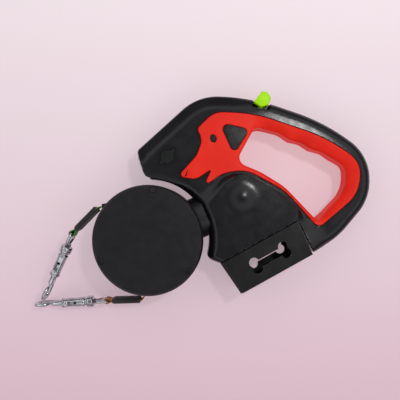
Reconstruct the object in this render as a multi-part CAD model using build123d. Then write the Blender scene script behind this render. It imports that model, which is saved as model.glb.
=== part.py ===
from build123d import *
from math import acos, atan2, cos, hypot, pi, radians, sin
import os

# Retractable leash for two dogs, lying on its side. Millimetres.
# Every shape is modelled about the mid-plane of the leash (z = 0) and is lifted by MID when it is
# saved, so the row frame has its origin at the centre of the reel case's underside, +Z up out of
# the upper cover and +X along the handle. The front half of the handle is its upper half.
# s, t: distances along and across the swivel axis, which joins the reel to the handle.

# ---- driving dimensions ----
MID = 24.0                # height of the mid-plane above the underside
CASE_R = 50.5             # reel case
CASE_HALF = 24.0
COVER = 2.5
CASE_WALL = 2.5
MID_PLATE = 1.5           # half thickness of the plate between the two spools
SWIVEL_DEG = 23.7         # direction of the swivel axis in the mid-plane
AXLE_R = 5.0
HEAD_HALF = 16.0          # half thickness of the handle's head and grip
BODY_HALF = 22.5          # half thickness of the handle round the swivel
DOME = (88.0, 37.6)       # centre of the dome over the swivel
WALL = 2.5                # shell wall
RECESS_R = 56.0           # hollow in the handle that the case swings in
SKIN = 2.5                # soft lining of the hand opening
FACE_SKIN = 1.2           # soft skin on the faces
GAP = 0.05                # radial clearance of running fits

NECK_R = 19.5             # outside part of the swivel neck
JOURNAL_R = 15.0
FLANGE_R = 18.0
HOLLOW_R = 9.0            # room for the brake plungers inside the neck
TUBE_R = 5.5
ROD_R = 2.9
BRAKE_TRAVEL = 4.0
TEETH = 16                # ratchet teeth round each spool
TOOTH_TIP_R = 41.3
TOOTH_ROOT_R = 37.4
LEVER_PIVOT = (72.0, 85.0)
BUTTON_AT = (105.4, 130.3)
BUTTON_DEG = -12.0        # slope of the handle's top edge at the buttons
BUTTON_LAYER = 8.0        # height of each button's centre above or below the mid-plane
PAD_DEPTH = 15.0          # lever pad below the handle's top edge
PAD_R = 2.0
PAD_GAP = 0.5             # play between the button's stem and the pad

TAPE = 1.0                # thickness of the leash tape
TAPE_WIDE = 12.0
LAYER = 12.0              # height of each tape above or below the mid-plane
COIL_IN, COIL_OUT = 22.0, 36.6
SLEEVE_LONG = 25.0
SLEEVE_THICK = 6.0
SLEEVE_TALL = 15.0

DRAWER_AT = (82.3, -50.4) # lower left corner of the bag drawer
DRAWER_DEG = 29.1
DRAWER_LONG, DRAWER_DEEP, DRAWER_HALF = 79.5, 33.0, 21.0
DRAWER_LEAN = 3.0         # how far its left end leans in towards the bottom
DRAWER_SLOT = (27.2, 57.2)  # where the two ends of its slot lie along it
SLOT_UP = 16.0

TORCH_AT = (-7.2, 70.3)
TORCH_DEG = 199.3
TORCH_BUTTON = (17.4, 76.8)

# Corners (x, y, fillet radius), anticlockwise.
HANDLE = [
    (-11.5, 82.5, 4.0), (-3.2, 58.9, 3.0), (1.5, 57.2, 0.0), (3.0, 40.0, 0.0), (51.0, -2.0, 0.0),
    (55.0, -17.3, 7.0), (66.1, -21.3, 1.0), (136.8, 18.0, 2.0), (151.4, -11.6, 1.5),
    (172.6, -2.2, 76.0), (205.6, 37.4, 46.0), (205.6, 79.1, 44.0), (161.7, 109.9, 180.0),
    (96.6, 132.2, 190.0), (45.6, 134.2, 48.0),
]
OPENING = [
    (80.4, 71.9, 8.0), (103.0, 62.6, 60.0), (125.0, 49.2, 60.0), (155.8, 16.8, 3.5),
    (183.8, 46.5, 30.0), (183.0, 67.8, 9.0), (171.3, 74.8, 4.0), (161.9, 80.8, 14.0),
    (151.2, 83.9, 4.0), (141.9, 89.7, 14.0), (131.2, 92.4, 4.0), (121.5, 98.8, 18.0),
    (98.4, 104.9, 7.0),
]
BODY = [
    (30.0, -40.0, 0.0), (140.0, -40.0, 0.0), (150.0, 10.0, 10.0), (140.0, 27.0, 14.0),
    (108.0, 50.5, 40.0), (88.0, 58.5, 20.0), (62.0, 55.0, 20.0), (46.0, 46.5, 10.0), (20.0, 47.0, 0.0),
]
RED = [
    (26.8, 58.2, 3.2), (43.5, 55.6, 12.0), (58.4, 65.4, 0.8), (49.8, 48.2, 2.0), (68.5, 61.6, 30.0),
    (90.0, 64.5, 30.0), (125.5, 45.3, 60.0), (156.5, 11.0, 6.0), (193.2, 42.5, 32.0),
    (195.5, 71.0, 22.0), (165.0, 93.4, 150.0), (97.0, 116.4, 130.0), (60.6, 117.8, 20.0),
    (44.6, 102.2, 4.0), (49.6, 92.0, 14.0), (44.3, 77.5, 20.0),
]
EAR = [(78.5, 78.2, 4.0), (93.3, 101.8, 4.5), (65.0, 108.2, 4.5)]
EYE_AT = (59.7, 93.2)

HANDLE_SCREWS = [(66.0, 124.0), (148.0, 104.0), (195.3, 58.0), (162.0, 2.5), (66.0, -11.5), (22.0, 64.0)]
COVER_SCREW_R = 46.3
COVER_SCREWS = [
    (COVER_SCREW_R * cos(radians(SWIVEL_DEG + turn)), COVER_SCREW_R * sin(radians(SWIVEL_DEG + turn)))
    for turn in (60, 180, 300)
]
BUTTON_PROFILE = [
    (-6.4, -2.5), (6.4, -2.5), (6.4, 0.2), (8.5, 1.5), (5.6, 6.4), (-1.6, 7.4), (-5.2, 5.0), (-6.4, 0.2),
]
HOOK = [(40, -3.6), (47, -5.6), (58, -7.4), (69.5, -7.4), (71.5, 3.8), (61, 5.2), (57.2, 0.9)]
HOOK_BENDS = [5.0, 8.0, 5.0, 4.5, 3.0]

# Leash bends outside the case (x, y), then the start, the heading and the snap's heading and droop.
GREEN = {"bends": [(-46.4, 29.8)], "sleeve": (-47.7, 28.8), "heading": 225.7,
         "snap": 243.7, "droop": 9.0, "side": 1}
ORANGE = {"bends": [(-4.3, -52.0), (-8.2, -59.7)], "sleeve": (-10.4, -59.8), "heading": 181.7,
          "snap": 183.8, "droop": 2.0, "side": -1}

SWIVEL = Plane(origin=(0, 0, 0), x_dir=(cos(radians(SWIVEL_DEG)), sin(radians(SWIVEL_DEG)), 0))
SWIVEL_AXIS = Axis((0, 0, 0), tuple(SWIVEL.x_dir))
SWIVEL_ROUND = Plane(origin=(0, 0, 0), x_dir=(0, 0, 1), z_dir=tuple(SWIVEL.x_dir))
BUTTON = Plane(origin=(*BUTTON_AT, 0), x_dir=(cos(radians(BUTTON_DEG)), sin(radians(BUTTON_DEG)), 0))
DRAWER = Plane(origin=(*DRAWER_AT, 0), x_dir=(cos(radians(DRAWER_DEG)), sin(radians(DRAWER_DEG)), 0))
TORCH_IN = (-cos(radians(TORCH_DEG)), -sin(radians(TORCH_DEG)), 0)
TORCH = Plane(origin=(*TORCH_AT, 0), x_dir=(0, 0, 1), z_dir=TORCH_IN)
LOW = (Align.CENTER, Align.CENTER, Align.MIN)

NODES = {}


# ---- helpers ----
def outline(corners, grow=0.0):
    """Face inside rounded corners, with every edge moved outwards by grow."""
    points = []
    radii = []
    for i, (x, y, radius) in enumerate(corners):
        x0, y0, _ = corners[i - 1]
        x1, y1, _ = corners[(i + 1) % len(corners)]
        before = hypot(x - x0, y - y0)
        after = hypot(x1 - x, y1 - y)
        n0 = ((y - y0) / before, (x0 - x) / before)
        n1 = ((y1 - y) / after, (x - x1) / after)
        share = grow / (1 + n0[0] * n1[0] + n0[1] * n1[1])
        points.append((x + share * (n0[0] + n1[0]), y + share * (n0[1] + n1[1])))
        convex = n0[0] * n1[1] - n0[1] * n1[0] > 0
        radii.append(max(radius + (grow if convex else -grow), 0.4) if radius else 0.0)
    return make_face(FilletPolyline(*points, radius=radii, close=True))


def prism(face, low, high):
    """A face of the mid-plane extruded from height low to height high."""
    return extrude(Pos(0, 0, low) * face, high - low)


def block(x0, x1, y0, y1, z0, z1):
    """A box given by its limits."""
    return Pos((x0 + x1) / 2, (y0 + y1) / 2, (z0 + z1) / 2) * Box(x1 - x0, y1 - y0, z1 - z0)


def disc(x, y, radius, low, high, bore=0.0):
    """An upright disc or ring."""
    shape = Cylinder(radius, high - low, align=LOW)
    if bore:
        shape -= Cylinder(bore, high - low, align=LOW)
    return Pos(x, y, low) * shape


def turned(plane, start, end, radius, bore=0.0):
    """A disc or ring along the normal of a plane."""
    return plane * disc(0, 0, radius, start, end, bore)


def shaft(start, end, radius, bore=0.0):
    """A disc or ring along the swivel axis."""
    return turned(SWIVEL_ROUND, start, end, radius, bore)


def at_swivel(s, t):
    """Row x, y of a place given along and across the swivel axis."""
    place = SWIVEL.from_local_coords((s, t, 0))
    return place.X, place.Y


def link(points, radii, low, high):
    """A flat arm through a row of round ends."""
    arm = Part()
    for a, b, ra, rb in zip(points, points[1:], radii, radii[1:]):
        ends = Pos(*a) * Circle(ra) + Pos(*b) * Circle(rb)
        arm += prism(make_hull(ends.edges()), low, high)
    return arm


def coil_spring(radius, wire, length, turns):
    """Helical spring standing on the plane, its wire kept inside its length."""
    rise = length - 2 * wire
    helix = Helix(rise / turns, rise, radius)
    section = Plane(origin=helix @ 0, z_dir=helix % 0) * Circle(wire / 2)
    return Pos(0, 0, wire) * sweep(section, path=helix)


def flip(shape):
    """Turn a piece half round the swivel axis, from the upper leash to the lower one."""
    return shape.rotate(SWIVEL_AXIS, 180)


def under(shape):
    """The same piece below the mid-plane."""
    return mirror(shape, about=Plane.XY)


def save(name, shape):
    NODES[name] = Pos(0, 0, MID) * shape


# ---- handle ----
def handle_outer():
    """Solid upper half of the handle, without the soft lining of its opening."""
    body = (outline(HANDLE) & outline(BODY)) - Circle(RECESS_R)
    dome = Pos(*DOME, 12) * Cone(28.5, 17, CASE_HALF - 12, align=LOW)
    solid = prism(outline(HANDLE) - Circle(RECESS_R), 0, HEAD_HALF) + prism(body, 0, BODY_HALF) + dome
    return solid - prism(outline(OPENING, SKIN), 0, CASE_HALF)


def handle_cavity():
    """Hollow of the upper half, one wall inside it."""
    room = Circle(RECESS_R + WALL)
    body = (outline(HANDLE, -WALL) & outline(BODY, -WALL)) - room
    dome = Pos(*DOME, 10) * Cone(26.5, 15, CASE_HALF - 12.5, align=LOW)
    hollow = prism(outline(HANDLE, -WALL) - room, 0, HEAD_HALF - WALL)
    hollow += prism(body, 0, BODY_HALF - WALL) + dome
    return hollow - prism(outline(OPENING, SKIN + 2.0), 0, CASE_HALF)


def red_face():
    """The animal's head shape on the face, without its ear and eye."""
    return outline(RED) - outline(EAR) - Pos(*EYE_AT) * Ellipse(3.0, 3.9)


def red_half():
    """Soft skin over the face of the upper half, and the lining of the hand opening."""
    hole = outline(OPENING)
    skin = prism(red_face() - hole, HEAD_HALF - FACE_SKIN, HEAD_HALF)
    return skin + prism(outline(OPENING, SKIN) - hole, 0, HEAD_HALF)


def handle_inside():
    """Bulkhead, rib, bosses, button pocket and torch socket that stand inside the upper half."""
    bulkhead = SWIVEL * block(57.5, 65.5, -24, 24, 0, CASE_HALF)
    rib = SWIVEL * block(104.6, 106.2, -9, 0.5, 0, BODY_HALF)
    pin_boss = disc(*LEVER_PIVOT, 4.5, 7.4, HEAD_HALF)
    pocket = BUTTON * block(-9, 9, -9.5, 2, 0, HEAD_HALF)
    socket = turned(TORCH, 0, 7, 11.2) & block(-30, 30, 50, 100, 0, HEAD_HALF)
    inside = bulkhead + rib + pin_boss + pocket + socket
    for x, y in HANDLE_SCREWS:
        inside += disc(x, y, 4.2, 0, BODY_HALF)
    return inside


def handle_shell(lower):
    """One half shell; the lower one takes the screw heads, the upper one the torch button."""
    outer = handle_outer()
    shell = outer - handle_cavity() + (handle_inside() & outer)
    shell -= prism(red_face(), HEAD_HALF - FACE_SKIN, HEAD_HALF + 0.5)
    shell -= shaft(50, 58.5, NECK_R + 0.4) + shaft(58, 66, 17.5) + shaft(100, 108, ROD_R + 0.3)
    shell -= turned(TORCH, -4, 7.1, 9.6)
    shell -= disc(*LEVER_PIVOT, 2.0, 0, HEAD_HALF - 2)
    shell -= BUTTON * block(-6.9, 6.9, -7.5, 14, 2.1, 13.9)
    shell -= BUTTON * Pos(0, -12, BUTTON_LAYER) * Rot(-90, 0, 0) * disc(0, 0, 2.5, 0, 6)
    for x, y in HANDLE_SCREWS:
        shell -= disc(x, y, 1.55, 0, 11)
        if lower:
            shell -= disc(x, y, 3.5, 11, CASE_HALF)
    if not lower:
        shell -= disc(*TORCH_BUTTON, 6.3, 8, 20) + torch_ears(4.0, 10.0, 8, 20)
    shell += DRAWER * rail_half()
    return under(shell) if lower else shell


def rail_half():
    """Half of the T rail that the bag drawer slides on."""
    neck = block(14, 66, 30.2, 34.5, 0, 3.0)
    head = block(14, 66, 28.4, 30.4, 0, 6.0)
    return neck + head


def torch_ears(wide, reach, low, high):
    """The two ears of the torch button, one each side at 45 degrees."""
    bar = block(-reach, reach, -wide / 2, wide / 2, low, high)
    return Pos(*TORCH_BUTTON, 0) * Rot(0, 0, 45) * bar


def handle_screws():
    screws = Part()
    for x, y in HANDLE_SCREWS:
        screws += disc(x, y, 3.2, -13.2, -11) + disc(x, y, 1.5, -11, 10)
    return screws


def torch():
    save("torch_bezel", turned(TORCH, -1.2, 2.5, 9.5, 7.6))
    save("torch_lens", turned(TORCH, 0, 1.5, 7.5))
    cup = TORCH * Pos(0, 0, 2.6) * (Cone(7.5, 3.6, 6, align=LOW) - Cone(6.7, 2.8, 6, align=LOW))
    save("torch_reflector", cup)
    save("torch_led", turned(TORCH, 7.6, 8.6, 2.6) + turned(TORCH, 8.6, 11.5, 3.4))
    x, y = TORCH_BUTTON
    save("torch_board", block(x - 7, x + 9, y - 7, y + 7, 4.6, 5.8))
    save("torch_switch", block(x - 3, x + 3, y - 3, y + 3, 5.8, 8.0) + disc(x, y, 1.6, 8.0, 8.6))
    cap = disc(x, y, 6.0, 12.6, HEAD_HALF - 0.3) + torch_ears(3.4, 9.6, 12.6, HEAD_HALF - 0.3)
    save("torch_button", cap + disc(x, y, 7.6, 11.4, 12.7) + disc(x, y, 2.0, 10.0, 11.5))
    along = Plane(origin=(36.2, 108.1, 0), x_dir=(0, 0, 1), z_dir=(0.741, 0.671, 0))
    cells = Part()
    contacts = Part()
    for height in (-5.4, 5.4):
        cells += along * disc(height, 0, 5.25, -22, 21.4) + along * disc(height, 0, 1.8, 21.4, 22.2)
        contacts += along * block(height - 4.5, height + 4.5, -4, 4, 22.3, 22.9)
        contacts += along * block(height - 4.5, height + 4.5, -4, 4, -22.9, -22.1)
    save("battery_cells", cells)
    save("battery_contacts", contacts)


def swivel_bush():
    return shaft(58.6, 65.9, 17.5, JOURNAL_R + GAP) + shaft(65.55, 65.9, 19.0, JOURNAL_R + GAP)


# ---- brakes ----
def brake_button():
    """Upper brake button, with its stem and retaining collar, in the handle's top edge."""
    profile = Polyline(BUTTON_PROFILE, close=True)
    cap = prism(make_face(profile), 2.6, 13.4)
    upright = Pos(0, 0, BUTTON_LAYER) * Rot(90, 0, 0)
    stem = disc(0, 0, 2.2, 2.5, PAD_DEPTH - PAD_R - PAD_GAP) + disc(0, 0, 3.6, 9.8, 11.0)
    return BUTTON * (cap + upright * stem)


def button_spring():
    spring = coil_spring(3.4, 0.7, 4.8, 3)
    return BUTTON * Pos(0, -7.4, BUTTON_LAYER) * Rot(-90, 0, 0) * spring


def brake_lever(low_points, low_radii):
    """Bell crank on the pivot pin: one arm under the button, one behind the push rod's flange."""
    pad = BUTTON.from_local_coords((0, -PAD_DEPTH, 0))
    lever = link([LEVER_PIVOT, (84.0, 112.0), (pad.X, pad.Y)], [4.0, 2.6, PAD_R], 3.4, 6.8)
    lever += link([LEVER_PIVOT] + low_points, [4.0] + low_radii, 3.4, 6.8)
    lever += disc(*LEVER_PIVOT, 4.5, 0.2, 7.2)
    return lever - disc(*LEVER_PIVOT, 2.0 + GAP, 0, 8)


def green_push_rod():
    rod = shaft(46, 115, ROD_R) - shaft(46.8, 49.7, ROD_R + 1, 1.6)
    return rod + shaft(112, 113.6, 4.6)


def orange_push_tube():
    tube = shaft(53.6, 100, TUBE_R, ROD_R + 0.3) - shaft(54.8, 57.3, TUBE_R + 1, 4.2)
    return tube + shaft(98, 100, 9.0, ROD_R + 0.3)


def plunger(fork_start, fork_end, groove_r):
    """Fork in a push rod's groove, with an arm that carries the brake tooth over the spool's rim."""
    fork = block(fork_start, fork_end, -6, 6, -1.0, 8.4)
    fork -= block(fork_start, fork_end, -groove_r, groove_r, -2, 0)
    arm = block(41.9, fork_end, -2.4, 2.4, 5.9, 8.4)
    tooth = block(41.9, 44.4, -2.4, 2.4, 2.9, 6.0)
    shape = SWIVEL * (fork + arm + tooth) & shaft(41, 58, HOLLOW_R - 0.3)
    return shape - shaft(fork_start, fork_end, groove_r)


def brakes():
    green_arm = [(72.5, 64.0), at_swivel(115.9, 6.5), at_swivel(115.9, 0)]
    orange_arm = [(74.0, 64.0), at_swivel(103.4, 14), at_swivel(102.2, 0)]
    save("lever_pivot_pin", disc(*LEVER_PIVOT, 2.0, 2 - HEAD_HALF, HEAD_HALF - 2))
    save("green_brake_button", brake_button())
    save("orange_brake_button", under(brake_button()))
    save("green_button_spring", button_spring())
    save("orange_button_spring", under(button_spring()))
    save("green_brake_lever", brake_lever(green_arm, [2.8, 1.8, 1.8]))
    save("orange_brake_lever", under(brake_lever(orange_arm, [2.8, 1.8, 1.8])))
    save("green_push_rod", green_push_rod())
    save("orange_push_tube", orange_push_tube())
    save("green_return_spring", SWIVEL_ROUND * Pos(0, 0, 106.3) * coil_spring(3.7, 0.7, 5.6, 3))
    save("orange_return_spring", SWIVEL_ROUND * Pos(0, 0, 69.2) * coil_spring(7.0, 1.1, 28.6, 7))
    save("green_brake_plunger", plunger(47.1, 49.4, 1.75))
    save("orange_brake_plunger", flip(plunger(55.1, 57.0, 4.4)))


# ---- reel ----
def reel_frame():
    """Ring wall, plate between the spools and swivel neck, with tape exits and screw bosses."""
    high = CASE_HALF - COVER
    frame = disc(0, 0, CASE_R, -high, high, CASE_R - CASE_WALL)
    frame += disc(0, 0, CASE_R - 1, -MID_PLATE, MID_PLATE)
    frame += shaft(46, 58, NECK_R) - disc(0, 0, CASE_R - CASE_WALL, -high, high)
    frame += shaft(57, 66.2, JOURNAL_R) + shaft(66.2, 69, FLANGE_R)
    for x, y in COVER_SCREWS:
        frame += disc(x, y, 3.4, -high, high)
        frame -= disc(x, y, 1.3, high - 12, high) + disc(x, y, 1.3, -high, 12 - high)
    frame -= disc(0, 0, AXLE_R, -high, high)
    frame -= shaft(41.6, 58.5, HOLLOW_R) + shaft(58, 70, TUBE_R + 0.4)
    for leash in (GREEN, ORANGE):
        frame -= exit_box(leash, 5.0, 16.0)
    return frame


def reel_cover():
    """Upper cover with its screw seats and the bearing that holds the axle's end."""
    low = CASE_HALF - COVER
    cover = disc(0, 0, CASE_R, low, CASE_HALF)
    cover = chamfer(cover.edges().group_by(Axis.Z)[-1], 2.0)
    cover += disc(0, 0, 8, low - 1.7, low) - disc(0, 0, AXLE_R + GAP, low - 1.7, low)
    for x, y in COVER_SCREWS:
        cover -= disc(x, y, 1.6, low, CASE_HALF) + disc(x, y, 3.0, CASE_HALF - 1.4, CASE_HALF)
    return cover


def cover_screws():
    screws = Part()
    seat = CASE_HALF - 1.4
    for x, y in COVER_SCREWS:
        screws += disc(x, y, 2.7, seat, CASE_HALF - 0.2) + disc(x, y, 1.25, 10, seat)
    return screws


def spool():
    """Upper spool: ratchet flange, drum and top flange."""
    teeth = Circle(TOOTH_TIP_R) - Circle(AXLE_R + GAP)
    for i in range(TEETH):
        angle = SWIVEL_DEG + 360 / TEETH * i
        teeth -= Rot(0, 0, angle) * Pos((TOOTH_ROOT_R + 45) / 2, 0) * Rectangle(45 - TOOTH_ROOT_R, 6.4)
    shape = prism(teeth, 3.0, 5.5) + disc(0, 0, 8, 2.0, 3.0, AXLE_R + GAP)
    shape += disc(0, 0, COIL_IN, 5.5, 18.4, COIL_IN - 3)
    return shape + disc(0, 0, 38, 18.4, 19.6, COIL_IN - 3)


def mainspring():
    """Flat strip wound in half circles whose centres alternate, from the axle out to the drum."""
    pitch, strip, inner, halves = 2.2, 0.7, 5.9, 10
    wound = Sketch()
    for i in range(halves):
        side = 1 if i % 2 else -1
        radius = inner + i * pitch / 2
        ring = Circle(radius + strip) - Circle(radius)
        half = Pos(0, -side * 25) * Rectangle(100, 50)
        wound += Pos(side * pitch / 4, 0) * (ring & half)
    return prism(wound, 6.5, 16.5)


def tangent_start(point, side):
    """Where the tape leaves the outside of its coil to run straight to a point."""
    radius = COIL_OUT + 0.25 + TAPE / 2
    angle = atan2(point[1], point[0]) - side * acos(radius / hypot(*point))
    return radius * cos(angle), radius * sin(angle)


def ahead(start, heading, distance):
    """The point at a distance along a heading in degrees."""
    return start[0] + distance * cos(radians(heading)), start[1] + distance * sin(radians(heading))


def along(start, heading, height=0.0):
    """Plane at a start point whose x runs along a heading."""
    return Plane(origin=(*start, height), x_dir=(cos(radians(heading)), sin(radians(heading)), 0))


def exit_box(leash, thick, tall):
    """Block round the tape where it passes through the case wall."""
    first = leash["bends"][0]
    start = tangent_start(first, leash["side"])
    heading = atan2(first[1] - start[1], first[0] - start[0]) * 180 / pi
    run = (CASE_R ** 2 - hypot(*start) ** 2) ** 0.5
    box = block(run - 6, run + 2, -thick / 2, thick / 2, -tall / 2, tall / 2)
    return along(start, heading, leash["side"] * LAYER) * box


def exit_guide(leash):
    """Smooth mouth that the tape is drawn through."""
    return exit_box(leash, 5.0, 16.0) - exit_box(leash, 2.6, 13.0)


def leash_lead(leash):
    """Tape from the coil, through the exit, to inside the sleeve."""
    points = [tangent_start(leash["bends"][0], leash["side"])] + leash["bends"]
    points.append(ahead(leash["sleeve"], leash["heading"], 18.5))
    path = FilletPolyline(*points, radius=2.0)
    low = leash["side"] * LAYER - TAPE_WIDE / 2
    strip = Wire(path.edges()).offset_2d(TAPE / 2, side=Side.BOTH)
    return prism(make_face(strip), low, low + TAPE_WIDE)


def leash_sleeve(leash):
    place = along(leash["sleeve"], leash["heading"], leash["side"] * LAYER)
    half, tall = SLEEVE_THICK / 2, SLEEVE_TALL / 2
    sleeve = block(0, SLEEVE_LONG, -half, half, -tall, tall)
    sleeve = fillet(sleeve.edges().filter_by(Axis.X), 1.5)
    return place * (sleeve - block(-1, SLEEVE_LONG - 3, -1.0, 1.0, -6.3, 6.3))


def bar_at(leash):
    """Middle of the bar that the snap hangs from."""
    return ahead(leash["sleeve"], leash["heading"], SLEEVE_LONG + 6.5)


def leash_loop(leash):
    """End of the tape folded back round the snap's bar."""
    place = along(bar_at(leash), leash["heading"], leash["side"] * LAYER)
    outer = make_hull((Pos(-6.5, 0) * Circle(2.4) + Pos(0.8, 0) * Circle(3.6)).edges())
    inner = make_hull((Pos(-2.0, 0) * Circle(2.2) + Pos(0.8, 0) * Circle(2.6)).edges())
    outer -= Pos(-10.5, 0) * Rectangle(8, 8)
    return place * prism(outer - inner, -TAPE_WIDE / 2, TAPE_WIDE / 2)


# ---- snap, along x from its bar, with the hook in the x-z plane ----
def snap_plane(leash):
    heading, droop = radians(leash["snap"]), radians(leash["droop"])
    run = (cos(heading) * cos(droop), sin(heading) * cos(droop), -sin(droop))
    up = (cos(heading) * sin(droop), sin(heading) * sin(droop), cos(droop))
    return Plane(origin=(*bar_at(leash), leash["side"] * LAYER), x_dir=run, z_dir=up)


def lathe(start, end, radius, bore=0.0):
    """A disc or ring along the snap's own x axis."""
    return Rot(0, 90, 0) * disc(0, 0, radius, start, end, bore)


def wire_path(points, bends, radius):
    """Round wire through points (x, z) of the hook's plane."""
    path = FilletPolyline(*[(x, 0, z) for x, z in points], radius=bends)
    section = Plane(origin=path @ 0, z_dir=path % 0) * Circle(radius)
    return sweep(section, path=path)


def snap_eye():
    """Closed eye round the tape, its bar upright, and the headed stem that the body turns on."""
    eye = wire_path([(0, -1), (0, -8.2), (8.5, -8.2), (12.5, -1.5), (12.5, 0)], [1.8, 2.5, 2.0], 1.5)
    eye += mirror(eye, about=Plane.XY)
    eye += disc(0, 0, 1.5, -1.2, 1.2)
    return eye + lathe(11.5, 17.5, 2.0) + lathe(17.5, 19.2, 3.4)


def snap_body():
    """Swivel cup, bolt barrel and hook."""
    body = lathe(14.2, 21.0, 5.6) + lathe(20.5, 44.0, 4.4)
    body -= lathe(14.0, 17.2, 2.0 + GAP) + lathe(17.2, 19.6, 3.4 + GAP) + lathe(22.5, 45, 2.7)
    body -= block(30.2, 42.0, -1.4, 1.4, 0, 6)
    return body + wire_path(HOOK, HOOK_BENDS, 2.1) - lathe(22.5, 45, 2.7)


def snap_bolt():
    bolt = lathe(33.0, 55.6, 2.6)
    return bolt + block(39.2, 41.6, -1.2, 1.2, 0, 6.4) + block(38.4, 42.4, -2.2, 2.2, 5.6, 7.4)


def snap(name, leash):
    place = snap_plane(leash)
    save(name + "_snap_eye", place * snap_eye())
    save(name + "_snap_body", place * snap_body())
    save(name + "_snap_bolt", place * snap_bolt())
    spring = Pos(22.6, 0, 0) * Rot(0, 90, 0) * coil_spring(1.9, 0.6, 10.2, 5)
    save(name + "_bolt_spring", place * spring)


# ---- bag drawer ----
def bag_drawer():
    """Box for a roll of bags, open at its right end, with a dispensing slot through both faces."""
    side = [(DRAWER_LEAN, 0), (DRAWER_LONG - 2, 0), (DRAWER_LONG, DRAWER_DEEP), (0, DRAWER_DEEP)]
    drawer = prism(make_face(Polyline(side, close=True)), -DRAWER_HALF, DRAWER_HALF)
    left = drawer.faces().sort_by(Axis.X)[0]
    drawer = chamfer([left.edges().sort_by(Axis.Z)[0], left.edges().sort_by(Axis.Z)[-1]], 3.0)
    inner = DRAWER_HALF - 2
    drawer -= block(6, DRAWER_LONG + 1, 2.5, 26.0, -inner, inner)
    end = DRAWER_LONG + 1
    drawer -= block(11, end, 28.0, 30.8, -6.4, 6.4) + block(11, end, 30, 34, -3.4, 3.4)
    first, last = DRAWER_SLOT
    slot = Pos((first + last) / 2, SLOT_UP) * Rectangle(last - first, 7.4)
    for x in DRAWER_SLOT:
        slot += Pos(x, SLOT_UP - 3.4) * Circle(4.6) + Pos(x, SLOT_UP + 3.4) * Circle(4.6)
    return DRAWER * (drawer - prism(slot, -30, 30))


def build():
    save("handle_shell_front", handle_shell(False))
    save("handle_shell_back", handle_shell(True))
    save("grip_overmould_front", red_half())
    save("grip_overmould_back", under(red_half()))
    save("handle_screws", handle_screws())
    save("swivel_bush", swivel_bush())
    torch()
    brakes()
    save("bag_drawer", bag_drawer())
    save("reel_frame", reel_frame())
    save("reel_axle", disc(0, 0, AXLE_R, -21.3, 21.3))
    for name, leash, turn in (("green", GREEN, lambda shape: shape), ("orange", ORANGE, flip)):
        save(name + "_reel_cover", turn(reel_cover()))
        save(name + "_cover_screws", turn(cover_screws()))
        save(name + "_spool", turn(spool()))
        save(name + "_tape_coil", turn(disc(0, 0, COIL_OUT, 6, 18, COIL_IN)))
        save(name + "_mainspring", turn(mainspring()))
        save(name + "_exit_guide", exit_guide(leash))
        save(name + "_leash_lead", leash_lead(leash))
        save(name + "_leash_sleeve", leash_sleeve(leash))
        save(name + "_leash_loop", leash_loop(leash))
        snap(name, leash)


build()
os.makedirs("parts", exist_ok=True)
for node, shape in NODES.items():
    export_step(shape, f"parts/{node}.step")
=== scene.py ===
"""Looks of the two-dog retractable leash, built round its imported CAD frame.

Sizes are millimetres until a mesh is made, and heights are above the leash's mid-plane unless
they are said to be above the floor. The front half of the handle is its upper half.
"""
import math

import bmesh
import bpy
import numpy as np
from mathutils import Matrix, Vector
from mathutils.geometry import delaunay_2d_cdt


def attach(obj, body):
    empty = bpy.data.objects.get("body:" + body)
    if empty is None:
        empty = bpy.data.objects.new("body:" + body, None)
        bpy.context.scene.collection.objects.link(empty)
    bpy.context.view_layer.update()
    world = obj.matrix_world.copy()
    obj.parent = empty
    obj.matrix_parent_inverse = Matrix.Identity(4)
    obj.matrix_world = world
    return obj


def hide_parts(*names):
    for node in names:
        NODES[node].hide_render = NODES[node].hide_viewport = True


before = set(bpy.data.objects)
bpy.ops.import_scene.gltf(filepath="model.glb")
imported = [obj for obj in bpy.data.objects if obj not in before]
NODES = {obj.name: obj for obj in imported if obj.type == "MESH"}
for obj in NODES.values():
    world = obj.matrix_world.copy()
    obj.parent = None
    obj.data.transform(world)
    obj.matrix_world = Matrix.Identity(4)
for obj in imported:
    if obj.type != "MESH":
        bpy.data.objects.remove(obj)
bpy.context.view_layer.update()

MM = 0.001
MID = 24.0  # height of the mid-plane above the floor

# ---- outlines, repeated from the CAD source: corners (x, y, fillet radius), anticlockwise ----
HANDLE = [
    (-11.5, 82.5, 4.0), (-3.2, 58.9, 3.0), (1.5, 57.2, 0.0), (3.0, 40.0, 0.0), (51.0, -2.0, 0.0),
    (55.0, -17.3, 7.0), (66.1, -21.3, 1.0), (136.8, 18.0, 2.0), (151.4, -11.6, 1.5),
    (172.6, -2.2, 76.0), (205.6, 37.4, 46.0), (205.6, 79.1, 44.0), (161.7, 109.9, 180.0),
    (96.6, 132.2, 190.0), (45.6, 134.2, 48.0),
]
OPENING = [
    (80.4, 71.9, 8.0), (103.0, 62.6, 60.0), (125.0, 49.2, 60.0), (155.8, 16.8, 3.5),
    (183.8, 46.5, 30.0), (183.0, 67.8, 9.0), (171.3, 74.8, 4.0), (161.9, 80.8, 14.0),
    (151.2, 83.9, 4.0), (141.9, 89.7, 14.0), (131.2, 92.4, 4.0), (121.5, 98.8, 18.0),
    (98.4, 104.9, 7.0),
]
RED = [
    (26.8, 58.2, 3.2), (43.5, 55.6, 12.0), (58.4, 65.4, 0.8), (49.8, 48.2, 2.0), (68.5, 61.6, 30.0),
    (90.0, 64.5, 30.0), (125.5, 45.3, 60.0), (156.5, 11.0, 6.0), (193.2, 42.5, 32.0),
    (195.5, 71.0, 22.0), (165.0, 93.4, 150.0), (97.0, 116.4, 130.0), (60.6, 117.8, 20.0),
    (44.6, 102.2, 4.0), (49.6, 92.0, 14.0), (44.3, 77.5, 20.0),
]
EAR = [(78.5, 78.2, 4.0), (93.3, 101.8, 4.5), (65.0, 108.2, 4.5)]
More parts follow.
